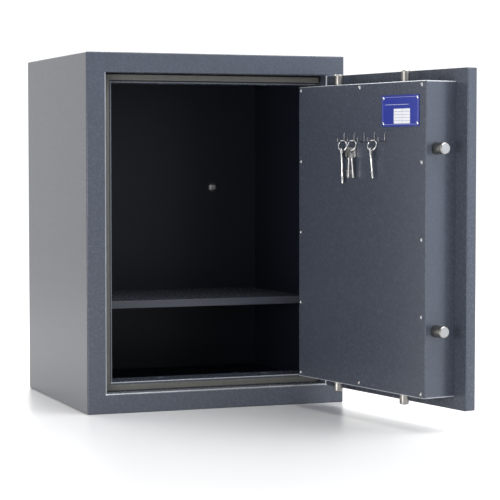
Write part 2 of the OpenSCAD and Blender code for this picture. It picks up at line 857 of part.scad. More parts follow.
module lock_case()
    color(steel)
        on_door()
            difference() {
                union() {
                    difference() {
                        block(lock_x, lock_y, lock_zz);
                        block(grow(lock_x, -lock_wall), [lock_y[0] + lock_wall, lock_y[1] + past],
                            grow(lock_zz, -lock_wall));
                    }
                    lock_post_places()
                        block([-lock_post / 2, lock_post / 2], lock_y, [-lock_post / 2, lock_post / 2]);
                }
                lock_post_places()
                    rod_y(0, grow(lock_y, past), 0, screw_d / 2 + snug);
                rod_y(barrel_x, [lock_y[0] - past, lock_y[0] + lock_wall + past], lock_z,
                    lock_barrel_d / 2 + run);
                block([lock_x[0] - past, lock_x[0] + lock_wall + past], grow(top_arm_y, lock_clear),
                    [lock_z - lock_bolt_h / 2 - lock_clear, lock_z + lock_bolt_h / 2 + lock_clear]);
            }

module lock_lid()
    color(steel)
        on_door()
            difference() {
                block(lock_x, [lock_y[1], lock_y[1] + lock_lid_t], lock_zz);
                lock_post_places()
                    rod_y(0, [lock_y[1] - past, lock_y[1] + lock_lid_t + past], 0, screw_d / 2 + snug);
            }

module lock_screws()
    color(bright_steel)
        on_door()
            lock_post_places() {
                rod_y(0, [lock_y[0] + 1, lock_y[1] + lock_lid_t], 0, screw_d / 2);
                rod_y(0, [lock_y[1] + lock_lid_t, lock_y[1] + lock_lid_t + 2.5], 0, screw_head_d / 2);
            }

// Handle group
module handle_lever()
    color(steel)
        on_door()
            difference() {
                union() {
                    rod_y(spindle_x, hub_y, spindle_z, hub_d / 2);
                    block([spindle_x, spindle_x + lever_len - lever_h / 2], lever_y,
                        [spindle_z - lever_h / 2, spindle_z + lever_h / 2]);
                    rod_y(spindle_x + lever_len - lever_h / 2, lever_y, spindle_z, lever_h / 2);
                }
                rod_y(spindle_x, [lever_y[0] + 2, hub_y[1] + past], spindle_z, spindle_d / 2 + run);
                rod_z(spindle_x, grub_y, [spindle_z - hub_d / 2 - past, spindle_z], grub_d / 2 + run);
            }

module handle_grub_screw()
    color(deep_grey)
        on_door()
            rod_z(spindle_x, grub_y,
                [spindle_z - hub_d / 2 + 1, spindle_z - spindle_d / 2 - face_gap], grub_d / 2);

module handle_spindle()
    color(steel)
        on_door()
            rod_y(spindle_x, [lever_y[0] + 2 + face_gap, disc_y[1]], spindle_z, spindle_d / 2);

module drive_disc()
    color(steel)
        on_door()
            difference() {
                rod_y(spindle_x, disc_y, spindle_z, disc_r);
                rod_y(spindle_x, grow(disc_y, past), spindle_z, spindle_d / 2 + run);
            }

module drive_pin(x, z, arm)
    rod_y(spindle_x + x, [disc_y[1], arm + 1], spindle_z + z, drive_pin_d / 2);

module drive_pins()
    color(bright_steel)
        on_door() {
            drive_pin(-drive_side, -drive_side, bottom_arm_y[1]);
            drive_pin(-drive_side, drive_side, side_arm_y[1]);
            drive_pin(drive_side, drive_side, top_arm_y[1]);
        }

// Bolt bars, bolts and their screws
module bolt_shape(len, d) {
    cylinder(h = len - bolt_chamfer, r = d / 2);
    translate([0, 0, len - bolt_chamfer])
        cylinder(h = bolt_chamfer, r1 = d / 2, r2 = d / 2 - bolt_chamfer);
}

module drilled_bolt(len, d)
    difference() {
        bolt_shape(len, d);
        translate([0, 0, -past])
            cylinder(h = bolt_screw_grip + past, r = bolt_screw_d / 2 + snug);
    }

module bar_screw() {
    translate([0, 0, -bar_w])
        cylinder(h = bar_w + bolt_screw_grip - 1, r = bolt_screw_d / 2);
    translate([0, 0, -bar_w - bolt_screw_head_h])
        cylinder(h = bolt_screw_head_h, r = bolt_screw_head_d / 2);
}

module at_side_bolts()
    for (z = side_bolt_z)
        translate([side_bar_x[0], bolt_y, z])
            rotate([0, -90, 0])
                children();

module at_top_bolts()
    for (x = end_bolt_x)
        translate([x, bolt_y, top_bar_z[1]])
            children();

module at_bottom_bolts()
    for (x = end_bolt_x)
        translate([x, bolt_y, bottom_bar_z[0]])
            rotate([180, 0, 0])
                children();

module screw_bore()
    translate([0, 0, -bar_w - past])
        cylinder(h = bar_w + 2 * past, r = bolt_screw_d / 2 + snug);

module side_bolt_bar() {
    fork_x = spindle_x - drive_side;
    arm_z = [spindle_z + fork_mouth, spindle_z + arm_reach];
    color(steel)
        on_door()
            difference() {
                union() {
                    block(side_bar_x, bar_y, grow(side_bolt_z, bar_overhang));
                    block(side_bar_x, [side_arm_y[0], bar_y[0]], arm_z);
                    block([side_bar_x[0], fork_x + fork_half + prong], side_arm_y, arm_z);
                }
                block([fork_x - fork_half, fork_x + fork_half], grow(side_arm_y, past),
                    [arm_z[0] - past, spindle_z + fork_reach]);
                at_side_bolts()
                    screw_bore();
            }
}

module side_bolts()
    color(bright_steel)
        on_door()
            at_side_bolts()
                drilled_bolt(side_bolt_in + side_bolt_out, side_bolt_d);

module side_bolt_screws()
    color(deep_grey)
        on_door()
            at_side_bolts()
                bar_screw();

module top_bolt_bar() {
    fork_z = spindle_z + drive_side;
    arm_x = [spindle_x + fork_mouth, spindle_x + arm_reach];
    color(steel)
        on_door()
            difference() {
                union() {
                    block(grow(end_bolt_x, bar_overhang), bar_y, top_bar_z);
                    block(arm_x, top_arm_y, [fork_z - fork_half - prong, top_bar_z[1]]);
                }
                block([arm_x[0] - past, spindle_x + fork_reach], grow(top_arm_y, past),
                    [fork_z - fork_half, fork_z + fork_half]);
                block([arm_x[1] - lock_travel, arm_x[1] + past], grow(top_arm_y, past),
                    [lock_z - lock_bolt_h / 2 - lock_fork_clear, lock_z + lock_bolt_h / 2 + lock_fork_clear]);
                at_top_bolts()
                    screw_bore();
            }
}

module top_bolts()
    color(bright_steel)
        on_door()
            at_top_bolts()
                drilled_bolt(end_bolt_in + end_bolt_out, end_bolt_d);

module top_bolt_screws()
    color(deep_grey)
        on_door()
            at_top_bolts()
                bar_screw();

module bottom_bolt_bar() {
    fork_z = spindle_z - drive_side;
    arm_x = [spindle_x - arm_reach, spindle_x - fork_mouth];
    color(steel)
        on_door()
            difference() {
                union() {
                    block(grow(end_bolt_x, bar_overhang), bar_y, bottom_bar_z);
                    block(arm_x, [bottom_arm_y[0], bar_y[0]], bottom_bar_z);
                    block(arm_x, bottom_arm_y, [bottom_bar_z[0], fork_z + fork_half + prong]);
                }
                block([spindle_x - fork_reach, arm_x[1] + past], grow(bottom_arm_y, past),
                    [fork_z - fork_half, fork_z + fork_half]);
                at_bottom_bolts()
                    screw_bore();
            }
}

module bottom_bolts()
    color(bright_steel)
        on_door()
            at_bottom_bolts()
                drilled_bolt(end_bolt_in + end_bolt_out, end_bolt_d);

module bottom_bolt_screws()
    color(deep_grey)
        on_door()
            at_bottom_bolts()
                bar_screw();

// Lock barrel and lock bolt
module lock_barrel() {
    flange_y = [top_arm_y[0] - layer_gap - barrel_flange_t, top_arm_y[0] - layer_gap];
    color(brass)
        on_door()
            difference() {
                union() {
                    rod_y(barrel_x, [plate_back + hard_t / 2 + face_gap, flange_y[1]], lock_z,
                        lock_barrel_d / 2);
                    rod_y(barrel_x, flange_y, lock_z, barrel_flange_d / 2);
                    rod_y(barrel_x + lock_travel / 2, [flange_y[1], top_arm_y[1] + 0.5],
                        lock_z + lock_travel / 2, lock_pin_d / 2);
                }
                block([barrel_x - 1.3, barrel_x + 1.3], [plate_back, lock_y[0] + 8],
                    [lock_z - 4.5, lock_z + 4.5]);
            }
}

module lock_bolt() {
    slot_x = barrel_x + lock_travel / 2;
    slot_half = lock_pin_d / 2 + lock_fork_clear;
    slot_top = lock_z + lock_pin_r + slot_half + lock_clear;
    tip_x = spindle_x + arm_reach + lock_bolt_rest;
    color(brass)
        on_door()
            difference() {
                union() {
                    block([tip_x, slot_x + slot_half + prong], top_arm_y,
                        [lock_z - lock_bolt_h / 2, lock_z + lock_bolt_h / 2]);
                    block([slot_x - slot_half - prong, slot_x + slot_half + prong], top_arm_y,
                        [lock_z, slot_top + 3]);
                }
                block([slot_x - slot_half, slot_x + slot_half], grow(top_arm_y, past), [lock_z, slot_top]);
            }
}

// Keys: one local frame for each hook, at the top of its ring
module at_hook(i)
    on_door()
        translate([hook_x(i), ring_y, ring_top])
            children();

module ring(lean)
    rotate([lean, 0, 0])
        rotate([0, 0, ring_turn])
            translate([0, 0, -ring_r])
                rotate([90, 0, 0])
                    rotate_extrude()
                        translate([ring_r, 0])
                            circle(r = wire_r);

// Point of a ring at an angle from its lowest point, in its hook's frame
function ring_point(angle, lean) =
    let (along = ring_r * sin(angle), drop = -ring_r - ring_r * cos(angle), side = along * sin(ring_turn))
        [along * cos(ring_turn), side * cos(lean) - drop * sin(lean), side * sin(lean) + drop * cos(lean)];

// A flat key on a ring: its plane is turned from the cover's, and it leans back and tilts in its plane
module flat_key(len, angle, lean, turn, back, tilt)
    translate(ring_point(angle, lean) - [0, 0, key_drop])
        rotate([0, 0, turn])
            rotate([back, tilt, 0])
                difference() {
                    union() {
                        block([-bow_w / 2, bow_w / 2], [-key_t / 2, key_t / 2], [bow_top - bow_h, bow_top]);
                        rod_z(0, 0, [bow_top - len, bow_top - bow_h + 1], shank_d / 2);
                        block([0, bit_w], [-key_t / 2, key_t / 2],
                            [bow_top - len + 2, bow_top - len + 2 + bit_h]);
                    }
                    rod_y(0, [-key_t / 2 - past, key_t / 2 + past], 0, key_hole_r);
                }

module key_ring_a()
    color(bright_steel)
        at_hook(0)
            ring(ring_lean[0]);

module key_a()
    color(bright_steel)
        at_hook(0)
            flat_key(long_key_len, 0, ring_lean[0], 140, 2, 0);

module key_ring_b()
    color(bright_steel)
        at_hook(1)
            ring(ring_lean[1]);

module keys_b()
    color(steel)
        at_hook(1) {
            flat_key(key_len, -15, ring_lean[1], 80, 0, 5);
            flat_key(key_len, 15, ring_lean[1], 80, 0, -2);
        }

module key_ring_c()
    color(bright_steel)
        at_hook(3)
            ring(ring_lean[2]);

module key_c()
    color(bright_steel)
        at_hook(3)
            flat_key(key_len, 0, ring_lean[2], 140, 5, 0);

outer_casing();
rear_panel();
front_frame();
strike_rail_top();
strike_rail_bottom();
strike_rail_side();
inner_liner();
wall_filling();
fire_seal();
shelf();
shelf_pegs();
anchor_sleeves();
hinge_frame_knuckles();
hinge_pins();
hinge_washers();
hinge_door_knuckles();
door_skin();
door_filling();
door_back_sheet();
bolt_case();
inner_cover();
cover_screws();
type_plate();
plate_rivets();
key_hooks();
bolt_bushes();
hard_plate();
spindle_bush();
handle_rosette();
key_tube();
keyhole_escutcheon();
cover_pivot();
keyhole_cover();
lock_case();
lock_lid();
lock_screws();
handle_lever();
handle_grub_screw();
handle_spindle();
drive_disc();
drive_pins();
side_bolt_bar();
side_bolts();
side_bolt_screws();
top_bolt_bar();
top_bolts();
top_bolt_screws();
bottom_bolt_bar();
bottom_bolts();
bottom_bolt_screws();
lock_barrel();
lock_bolt();
key_ring_a();
key_a();
key_ring_b();
keys_b();
key_ring_c();
key_c();
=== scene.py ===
"""Looks for a free-standing safe that stands with its door open, lit as in a white studio."""

import json
import math

import bpy
from mathutils import Matrix, Vector


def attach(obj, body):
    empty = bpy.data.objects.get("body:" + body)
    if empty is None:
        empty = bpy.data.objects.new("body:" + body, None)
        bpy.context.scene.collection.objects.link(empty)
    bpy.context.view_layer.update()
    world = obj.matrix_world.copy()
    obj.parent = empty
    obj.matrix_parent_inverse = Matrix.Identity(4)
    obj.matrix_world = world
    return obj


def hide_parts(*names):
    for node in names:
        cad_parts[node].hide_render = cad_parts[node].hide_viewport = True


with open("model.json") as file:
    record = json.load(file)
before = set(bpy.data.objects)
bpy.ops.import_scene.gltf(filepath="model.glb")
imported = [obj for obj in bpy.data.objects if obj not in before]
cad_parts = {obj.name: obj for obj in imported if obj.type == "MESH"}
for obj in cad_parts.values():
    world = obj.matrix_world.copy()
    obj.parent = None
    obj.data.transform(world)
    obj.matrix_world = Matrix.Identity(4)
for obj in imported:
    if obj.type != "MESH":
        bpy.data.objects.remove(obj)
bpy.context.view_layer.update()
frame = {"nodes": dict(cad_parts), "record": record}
NODES = frame["nodes"]
BODY_OF = {n: b for b, members in frame["record"]["behaviour"]["bodies"].items() for n in members}
SLOT_OF = {s["node"]: s["material_slot"] for s in frame["record"]["subparts"]}
MM = 0.001

# The door is worked on in its closed place and then swung open about the hinge line
FRONT_Y = -0.210
REBATE_Y = FRONT_Y + 26.5 * MM
COVER_Y = FRONT_Y + 82.0 * MM
HINGE = Vector((0.229, -0.222, 0.0))
OPEN_ANGLE = math.radians(100)
DOOR = Matrix.Translation(HINGE) @ Matrix.Rotation(OPEN_ANGLE, 4, "Z") @ Matrix.Translation(-HINGE)
CLOSED_FROM_OPEN = DOOR.inverted()

# Opening of the frame, case behind the door plate and type plate on its cover, in millimetres
OPENING_HALF, OPENING_LOW, OPENING_HIGH = 213.5, 36.5, 613.5
CASE_LEFT, CASE_RIGHT, CASE_LOW, CASE_HIGH = -180.0, 209.5, 60.5, 589.5
PLATE_LEFT, PLATE_RIGHT, PLATE_LOW, PLATE_HIGH = -161.5, -53.5, 514.0, 567.0
CASE_MIDDLE_X = (CASE_LEFT + CASE_RIGHT) / 2
CASE_MIDDLE_Z = (CASE_LOW + CASE_HIGH) / 2

# Rounding of the cover's rim and of the case's corner folds
RIM_R = 1.35 * MM
CORNER_R = 2.6 * MM


# Shader sums


class Val:
    """A shader value that can be used in Python sums."""

    def __init__(self, finish, socket):
        self.finish = finish
        self.socket = socket

    def _sum(self, operation, a, b):
        return self.finish.node("ShaderNodeMath", {"operation": operation}, {0: a, 1: b})

    def __add__(self, other):
        return self._sum("ADD", self, other)

    def __radd__(self, other):
        return self._sum("ADD", other, self)

    def __sub__(self, other):
        return self._sum("SUBTRACT", self, other)

    def __rsub__(self, other):
        return self._sum("SUBTRACT", other, self)

    def __mul__(self, other):
        return self._sum("MULTIPLY", self, other)

    def __truediv__(self, other):
        return self._sum("DIVIDE", self, other)

    def above(self, edge):
        return self._sum("GREATER_THAN", self, edge)

    def below(self, edge):
        return self._sum("LESS_THAN", self, edge)

    def size(self):
        return self._sum("ABSOLUTE", self, 0.0)

    def limited(self):
        """The value kept between nought and one."""
        return self.finish.node("ShaderNodeMath", {"operation": "ADD", "use_clamp": True}, {0: self, 1: 0.0})

    def near(self, centre, width):
        return self.finish.node("ShaderNodeMath", {"operation": "COMPARE"}, {0: self, 1: centre, 2: width})

    def repeat(self, pitch):
        return self._sum("FRACT", self / pitch, 0.0)


class Finish:
    """One material: a shader whose sockets take numbers, colours or node outputs."""

    def __init__(self, name, **constants):
        self.material = bpy.data.materials.new(name)
        self.material.use_nodes = True
        self.tree = self.material.node_tree
        self.shader = self.tree.nodes["Principled BSDF"]
        for socket, value in constants.items():
            self.put(socket.replace("_", " "), value)

    def put(self, socket, value):
        self.join(self.shader.inputs[socket], value)

    def join(self, socket, value):
        if isinstance(value, Val):
            self.tree.links.new(value.socket, socket)
        else:
            socket.default_value = value

    def node(self, kind, settings, inputs, out=0):
        made = self.tree.nodes.new(kind)
        for key, value in settings.items():
            setattr(made, key, value)
        for key, value in inputs.items():
            self.join(made.inputs[key], value)
        return Val(self, made.outputs[out])

    def place(self):
        return self.node("ShaderNodeTexCoord", {}, {}, out="Object")

    def door_place(self):
        """Places on the door as they are when it is closed."""
        turn = {
            "Location": CLOSED_FROM_OPEN.to_translation(),
            "Rotation": CLOSED_FROM_OPEN.to_euler(),
            "Vector": self.place(),
        }
        return self.node("ShaderNodeMapping", {"vector_type": "POINT"}, turn)

    def axes(self, place):
        split = self.tree.nodes.new("ShaderNodeSeparateXYZ")
        self.join(split.inputs[0], place)
        return [Val(self, s) for s in split.outputs]

    def noise(self, place, scale, detail=3.0, rough=0.55):
        wanted = {"Vector": place, "Scale": scale, "Detail": detail, "Roughness": rough}
        return self.node("ShaderNodeTexNoise", {}, wanted)

    def blend(self, amount, first, second):
        settings = {"data_type": "RGBA", "blend_type": "MIX"}
        return self.node("ShaderNodeMix", settings, {0: amount, 6: first, 7: second}, out=2)

    def bump(self, height, depth, strength):
        wanted = {"Height": height, "Distance": depth, "Strength": strength}
        self.put("Normal", self.node("ShaderNodeBump", {}, wanted))


def shade(r, g, b):
    return (r, g, b, 1.0)


# Painted highlights on folds and edges, as a pair: how far the paint is lightened, and how far it is made
# metallic to catch the lamps

HAIR = 0.1 * MM
GRAZE = 0.5 * MM
HIGHLIGHT_GAIN = 2.0


def opening_painted_highlight(f):
    """Painted highlights on the folds at the sides and sill of the opening and on the front edges of the
    rails behind it, and painted light on the sill's step.
    """
    x, y, z = f.axes(f.place())
    half, low, high = OPENING_HALF * MM, OPENING_LOW * MM, OPENING_HIGH * MM
    fold, rail, edge, step_band = 3.0 * MM, 17.0 * MM, 1.8 * MM, 0.4 * MM
    top_share, jamb_share, lit_step_share, sheen_share = 0.12, 0.2, 0.3, 1.4
    aside = x.size()
    at_front = (1.0 - ((y - FRONT_Y) / fold).limited()) * y.above(FRONT_Y - GRAZE)
    jamb = ((half + fold - aside) / fold).limited() * aside.above(half - HAIR)
    jamb = jamb * z.above(low - fold) * z.below(high)
    sill = ((z - low + fold) / fold).limited() * z.below(low + HAIR) * aside.below(half + fold)
    # Painted light: the step of the sill is lightened as if lit from the front
    step = z.near(low, step_band) * aside.below(half) * y.below(REBATE_Y)
    over_sill = ((z - (low + rail - edge)) / edge).limited() * z.below(low + rail + GRAZE)
    under_top = ((high - rail + edge - z) / edge).limited() * z.above(high - rail - GRAZE)
    by_jamb = ((x + half - rail + edge) / edge).limited() * x.below(rail - half + GRAZE)
    at_rebate = (1.0 - ((y - REBATE_Y) / edge).limited()) * y.above(REBATE_Y - GRAZE)
    # Rail edges get the full painted highlight on the sill, and less at the top and side, which face away
    # from the lamps
    rails = (over_sill + under_top * top_share + by_jamb * jamb_share) * at_rebate
    highlight_amount = ((jamb + sill) * at_front + rails) * HIGHLIGHT_GAIN + step * lit_step_share
    return highlight_amount, (sill * at_front + rails) * sheen_share


def case_painted_highlight(f):
    """Painted highlights on the upper and lower edges of the cover and on the corner folds of the case that
    it closes, with the upper edge also made metallic.
    """
    x, y, z = f.axes(f.door_place())
    half_x, half_z = (CASE_RIGHT - CASE_LEFT) / 2 * MM, (CASE_HIGH - CASE_LOW) / 2 * MM
    cover_sheet, sheen_share = 1.6 * MM, 1.6
    up = (z - CASE_MIDDLE_Z * MM).size()
    out = (x - CASE_MIDDLE_X * MM).size()
    over = ((up - half_z + RIM_R) / RIM_R).limited() * (1.0 - ((COVER_Y - y) / RIM_R).limited())
    fold = ((up - half_z + CORNER_R) / CORNER_R).limited() * ((out - half_x + CORNER_R) / CORNER_R).limited()
    highlight_amount = (over + fold * y.below(COVER_Y - cover_sheet)) * HIGHLIGHT_GAIN
    return highlight_amount, over * z.above(CASE_MIDDLE_Z * MM) * sheen_share


# Finishes

# Light colour painted on folds and edges as a highlight
HIGHLIGHT_PAINT = shade(0.46, 0.48, 0.51)


def powder_coat(name, dark, light, rough, relief=1.0, highlight_mask=None, shine=0.5):
    """Powder coat with a pebbled skin of about a millimetre and faint clouds, with painted highlights where
    its mask says.
    """
    f = Finish(name, Specular_IOR_Level=shine)
    place = f.place()
    pebble = f.noise(place, scale=750.0, detail=2.0, rough=0.6)
    mottle = f.noise(place, scale=230.0, detail=3.0, rough=0.6)
    cloud = f.noise(place, scale=30.0, detail=4.0, rough=0.6)
    tone = (pebble * 0.45 + mottle * 0.4 + cloud * 0.15 - 0.5) * 1.2 * relief + 0.5
    colour = f.blend(tone, dark, light)
    gloss = rough + ((mottle - 0.5) * 0.16 + (pebble - 0.5) * 0.12) * relief
    if highlight_mask:
        # Painted highlight: the folds and edges are lightened, made a little glossier and partly metallic
        highlight_amount, metal_sheen = highlight_mask(f)
        highlight_amount = highlight_amount * (0.45 + cloud * 0.6)
        colour = f.blend(highlight_amount, colour, HIGHLIGHT_PAINT)
        gloss = gloss - highlight_amount * 0.06
        f.put("Metallic", (metal_sheen * (0.1 + cloud * 0.6)).limited())
    f.put("Base Color", colour)
    f.put("Roughness", gloss)
    f.bump(pebble * 0.5 + mottle, depth=0.17 * MM, strength=0.5 * relief)
    return f.material


def turned_steel(name, base, rough):
    """Turned steel with a fine satin grain and faint clouds."""
    f = Finish(name, Metallic=1.0)
    place = f.door_place()
    grain = f.noise(place, scale=900.0, detail=3.0, rough=0.6)
    cloud = f.noise(place, scale=90.0)
    low = shade(*[c * 0.78 for c in base])
    f.put("Base Color", f.blend(grain * 0.6 + cloud * 0.4, low, shade(*base)))
    f.put("Roughness", rough + (grain - 0.5) * 0.22)
    f.bump(grain, depth=0.04 * MM, strength=0.5)
    return f.material


def plated_metal(name, base, rough):
    """Plated or bare metal with faint clouds and tumble marks."""
    f = Finish(name, Metallic=1.0)
    place = f.place()
    cloud = f.noise(place, scale=160.0, detail=4.0, rough=0.65)
    marks = f.noise(place, scale=1400.0, detail=2.0)
    low = shade(*[c * 0.82 for c in base])
    f.put("Base Color", f.blend(cloud, low, shade(*base)))
    f.put("Roughness", rough + (cloud - 0.5) * 0.16)
    f.bump(marks, depth=0.02 * MM, strength=0.4)
    return f.material


def seal_strip(name):
    """Matt expanding strip with a fine open grain."""
    f = Finish(name, Specular_IOR_Level=0.25)
    place = f.place()
    grain = f.noise(place, scale=900.0, detail=4.0, rough=0.7)
    patch = f.noise(place, scale=70.0)
    dark, light = shade(0.065, 0.066, 0.060), shade(0.155, 0.155, 0.144)
    f.put("Base Color", f.blend(grain * 0.6 + patch * 0.4, dark, light))
    f.put("Roughness", 0.82 + (grain - 0.5) * 0.2)
    f.bump(grain, depth=0.25 * MM, strength=0.6)
    return f.material


def shadow_black(name):
    """Matt near-black colour that stands in for the shadow in the gaps beside the fire seal."""
    f = Finish(name, Specular_IOR_Level=0.3)
    grain = f.noise(f.place(), scale=700.0, detail=3.0, rough=0.6)
    dark, light = shade(0.004, 0.004, 0.004), shade(0.010, 0.010, 0.010)
    f.put("Base Color", f.blend(grain, dark, light))
    f.put("Roughness", 0.7 + (grain - 0.5) * 0.2)
    f.bump(grain, depth=0.1 * MM, strength=0.5)
    return f.material


def mineral_fill(name):
    """Cast mineral filling with pores."""
    f = Finish(name, Specular_IOR_Level=0.2, Roughness=0.9)
    place = f.place()
    grain = f.noise(place, scale=220.0, detail=6.0, rough=0.7)
    pores = f.node("ShaderNodeTexVoronoi", {}, {"Vector": place, "Scale": 140.0})
    dark, light = shade(0.32, 0.30, 0.26), shade(0.58, 0.56, 0.51)
    f.put("Base Color", f.blend(grain, dark, light))
    f.bump(grain + pores * 0.5, depth=0.6 * MM, strength=0.7)
    return f.material


def printed_plate(name):
    """Thin blue plate with a pale line round it, a pale band and a bare ruled field."""
    f = Finish(name, Specular_IOR_Level=0.5, Coat_Weight=0.25)
    place = f.door_place()
    x, _, z = f.axes(place)

    def within(left, right, low, high):
        return x.above(left * MM) * x.below(right * MM) * z.above(low * MM) * z.below(high * MM)

    def inset(by):
        return within(PLATE_LEFT + by, PLATE_RIGHT - by, PLATE_LOW + by, PLATE_HIGH - by)

    line_from, line_to = 3.2, 3.7
    border = inset(line_from) - inset(line_to)
    field_low, row, line_share, line_depth = PLATE_LOW + 4.5, 5.1, 0.12, 0.75
    field = within(-135.5, -89.0, field_low, PLATE_LOW + 30.0)
    rule = (z - field_low * MM).repeat(row * MM).below(line_share)
    column = x.near(-113.0 * MM, 0.3 * MM)
    pale = field * (1.0 - rule * line_depth) * (1.0 - column * line_depth)
    band = within(-132.0, -64.0, PLATE_LOW + 36.5, PLATE_LOW + 37.5)
    grain = f.noise(place, scale=500.0)
    blue = f.blend(grain, shade(0.010, 0.020, 0.185), shade(0.022, 0.038, 0.30))
    white = f.blend(grain, shade(0.62, 0.64, 0.66), shade(0.80, 0.81, 0.82))
    f.put("Base Color", f.blend(pale * 0.95 + border * 0.5 + band * 0.5, blue, white))
    f.put("Roughness", 0.34 + (grain - 0.5) * 0.12)
    f.bump(grain, depth=0.03 * MM, strength=0.4)
    return f.material


GRAPHITE = (shade(0.034, 0.041, 0.056), shade(0.067, 0.078, 0.103))
CASING = (shade(0.033, 0.037, 0.047), shade(0.058, 0.066, 0.083))
# Painted shade: the liner colour is near black, darker than the graphite coat, for the shade inside the
# cabinet
LINER_IN_SHADE = (shade(0.003, 0.005, 0.010), shade(0.007, 0.010, 0.018))
FINISHES = {
    # The graphite and door coats carry painted highlights on their folds and edges
    "graphite_coat": powder_coat("graphite_coat", *GRAPHITE, 0.26, highlight_mask=opening_painted_highlight),
    "door_coat": powder_coat("door_coat", *GRAPHITE, 0.26, highlight_mask=case_painted_highlight),
    "casing_coat": powder_coat("casing_coat", *CASING, 0.27, relief=0.12, shine=0.38),
    "liner_coat": powder_coat("liner_coat", *LINER_IN_SHADE, 0.46, shine=0.32),
    "filling": mineral_fill("filling"),
    "seal": seal_strip("seal"),
    "gap_shade": shadow_black("gap_shade"),
    "satin_steel": turned_steel("satin_steel", (0.34, 0.33, 0.31), 0.29),
    "zinc_steel": plated_metal("zinc_steel", (0.56, 0.57, 0.59), 0.36),
    "dark_steel": plated_metal("dark_steel", (0.10, 0.10, 0.11), 0.38),
    "screw_zinc": plated_metal("screw_zinc", (0.40, 0.40, 0.41), 0.17),
    "hook_wire": plated_metal("hook_wire", (0.20, 0.20, 0.21), 0.26),
    "bright_steel": plated_metal("bright_steel", (0.80, 0.80, 0.79), 0.20),
    "key_nickel": plated_metal("key_nickel", (0.48, 0.48, 0.47), 0.34),
    "brass_parts": plated_metal("brass_parts", (0.70, 0.52, 0.22), 0.30),
    "plate_print": printed_plate("plate_print"),
}


# Modelling helpers

WELD = 1e-6
FACING = 0.9
QUARTER = math.pi / 2


def deselect():
    bpy.ops.object.select_all(action="DESELECT")


def pick(obj):
    deselect()
    obj.select_set(True)
    bpy.context.view_layer.objects.active = obj


def edit():
    bpy.ops.object.mode_set(mode="EDIT")


def done():
    bpy.ops.object.mode_set(mode="OBJECT")


def edit_whole(obj):
    """Opens a piece for editing with all of it selected."""
    pick(obj)
    edit()
    bpy.ops.mesh.select_all(action="SELECT")


def choose_none(kind):
    """Gets the active piece ready for a choice of its faces or edges."""
    edit()
    bpy.ops.mesh.select_mode(type=kind)
    bpy.ops.mesh.select_all(action="DESELECT")
    done()


def choose_faces(obj, test):
    """Selects the faces of obj whose normal passes a test, and leaves edit mode on."""
    choose_none("FACE")
    for face in obj.data.polygons:
        face.select = bool(test(face.normal))
    edit()


def choose_edges(obj, test):
    """Selects the edges of obj that pass a test on their two ends, and leaves edit mode on."""
    choose_none("EDGE")
    points = obj.data.vertices
    for edge in obj.data.edges:
        edge.select = bool(test(points[edge.vertices[0]].co, points[edge.vertices[1]].co))
    edit()


def round_chosen(radius, segments):
    """Rounds the chosen edges and leaves edit mode."""
    bpy.ops.mesh.bevel(offset=radius, segments=segments, affect="EDGES")
    done()


def settle():
    bpy.ops.object.transform_apply(location=True, rotation=True, scale=True)


def new_piece(name):
    """The shape that was just added, named and with its place written into its mesh."""
    obj = bpy.context.object
    obj.name = name
    settle()
    return obj


def block(name, low, high):
    deselect()
    middle = [(a + b) / 2 for a, b in zip(low, high)]
    bpy.ops.mesh.primitive_cube_add(size=1.0, location=middle)
    bpy.context.object.scale = [b - a for a, b in zip(low, high)]
    return new_piece(name)


def rod(name, start, axis, length, radius, sides):
    """A round bar from start along the Y or Z axis."""
    deselect()
    turn = {"Y": (-QUARTER, 0, 0), "Z": (0, 0, 0)}[axis]
    way = {"Y": Vector((0, 1, 0)), "Z": Vector((0, 0, 1))}[axis]
    bpy.ops.mesh.primitive_cylinder_add(
        vertices=sides, radius=radius, depth=length, location=Vector(start) + way * length / 2, rotation=turn
    )
    return new_piece(name)


def apply_all(obj):
    pick(obj)
    for modifier in list(obj.modifiers):
        bpy.ops.object.modifier_apply(modifier=modifier.name)


def combine(target, others, operation):
    for other in others:
        step = target.modifiers.new("combine", "BOOLEAN")
        step.operation = operation
        step.solver = "EXACT"
        step.object = other
        apply_all(target)
        bpy.data.objects.remove(other)


def join_solids(target, *others):
    """Adds other solids to target, as one skin."""
    combine(target, others, "UNION")


def cut_solids(target, *others):
    """Takes other solids out of target."""
    combine(target, others, "DIFFERENCE")


def ease(obj, width, segments=3, angle=35.0):
    """Rounds every edge that is sharper than an angle."""
    step = obj.modifiers.new("ease", "BEVEL")
    step.width = width
    step.segments = segments
    step.limit_method = "ANGLE"
    step.angle_limit = math.radians(angle)
    step.use_clamp_overlap = True
    apply_all(obj)


def drop_slivers(obj):
    """Makes triangles of faces with many sides and takes out those that have no area."""
    edit_whole(obj)
    bpy.ops.mesh.remove_doubles(threshold=WELD)
    bpy.ops.mesh.quads_convert_to_tris(quad_method="BEAUTY", ngon_method="BEAUTY")
    bpy.ops.mesh.dissolve_degenerate(threshold=1e-5)
    done()


def smooth(obj, angle=32.0):
    """Smooth shading across small angles, with the big flat faces kept flat."""
    drop_slivers(obj)
    pick(obj)
    bpy.ops.object.shade_smooth_by_angle(angle=math.radians(angle))
    step = obj.modifiers.new("even", "WEIGHTED_NORMAL")
    step.mode = "FACE_AREA"
    step.weight = 50
    step.keep_sharp = True
    apply_all(obj)


def finish_piece(obj, body, slot, *stands_for, look=None):
    obj.data.materials.clear()
    obj.data.materials.append(FINISHES[look or slot])
    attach(obj, body)
    if stands_for:
        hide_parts(*stands_for)


def put(obj, matrix):
    """Takes a piece to its place and writes the place into its mesh."""
    obj.matrix_world = matrix
    pick(obj)
    settle()


def gather(name, pieces):
    """Makes one piece of several, each with its own mesh."""
    deselect()
    for piece in pieces:
        piece.select_set(True)
    bpy.context.view_layer.objects.active = pieces[0]
    bpy.ops.object.join()
    result = bpy.context.object
    result.name = name
    return result


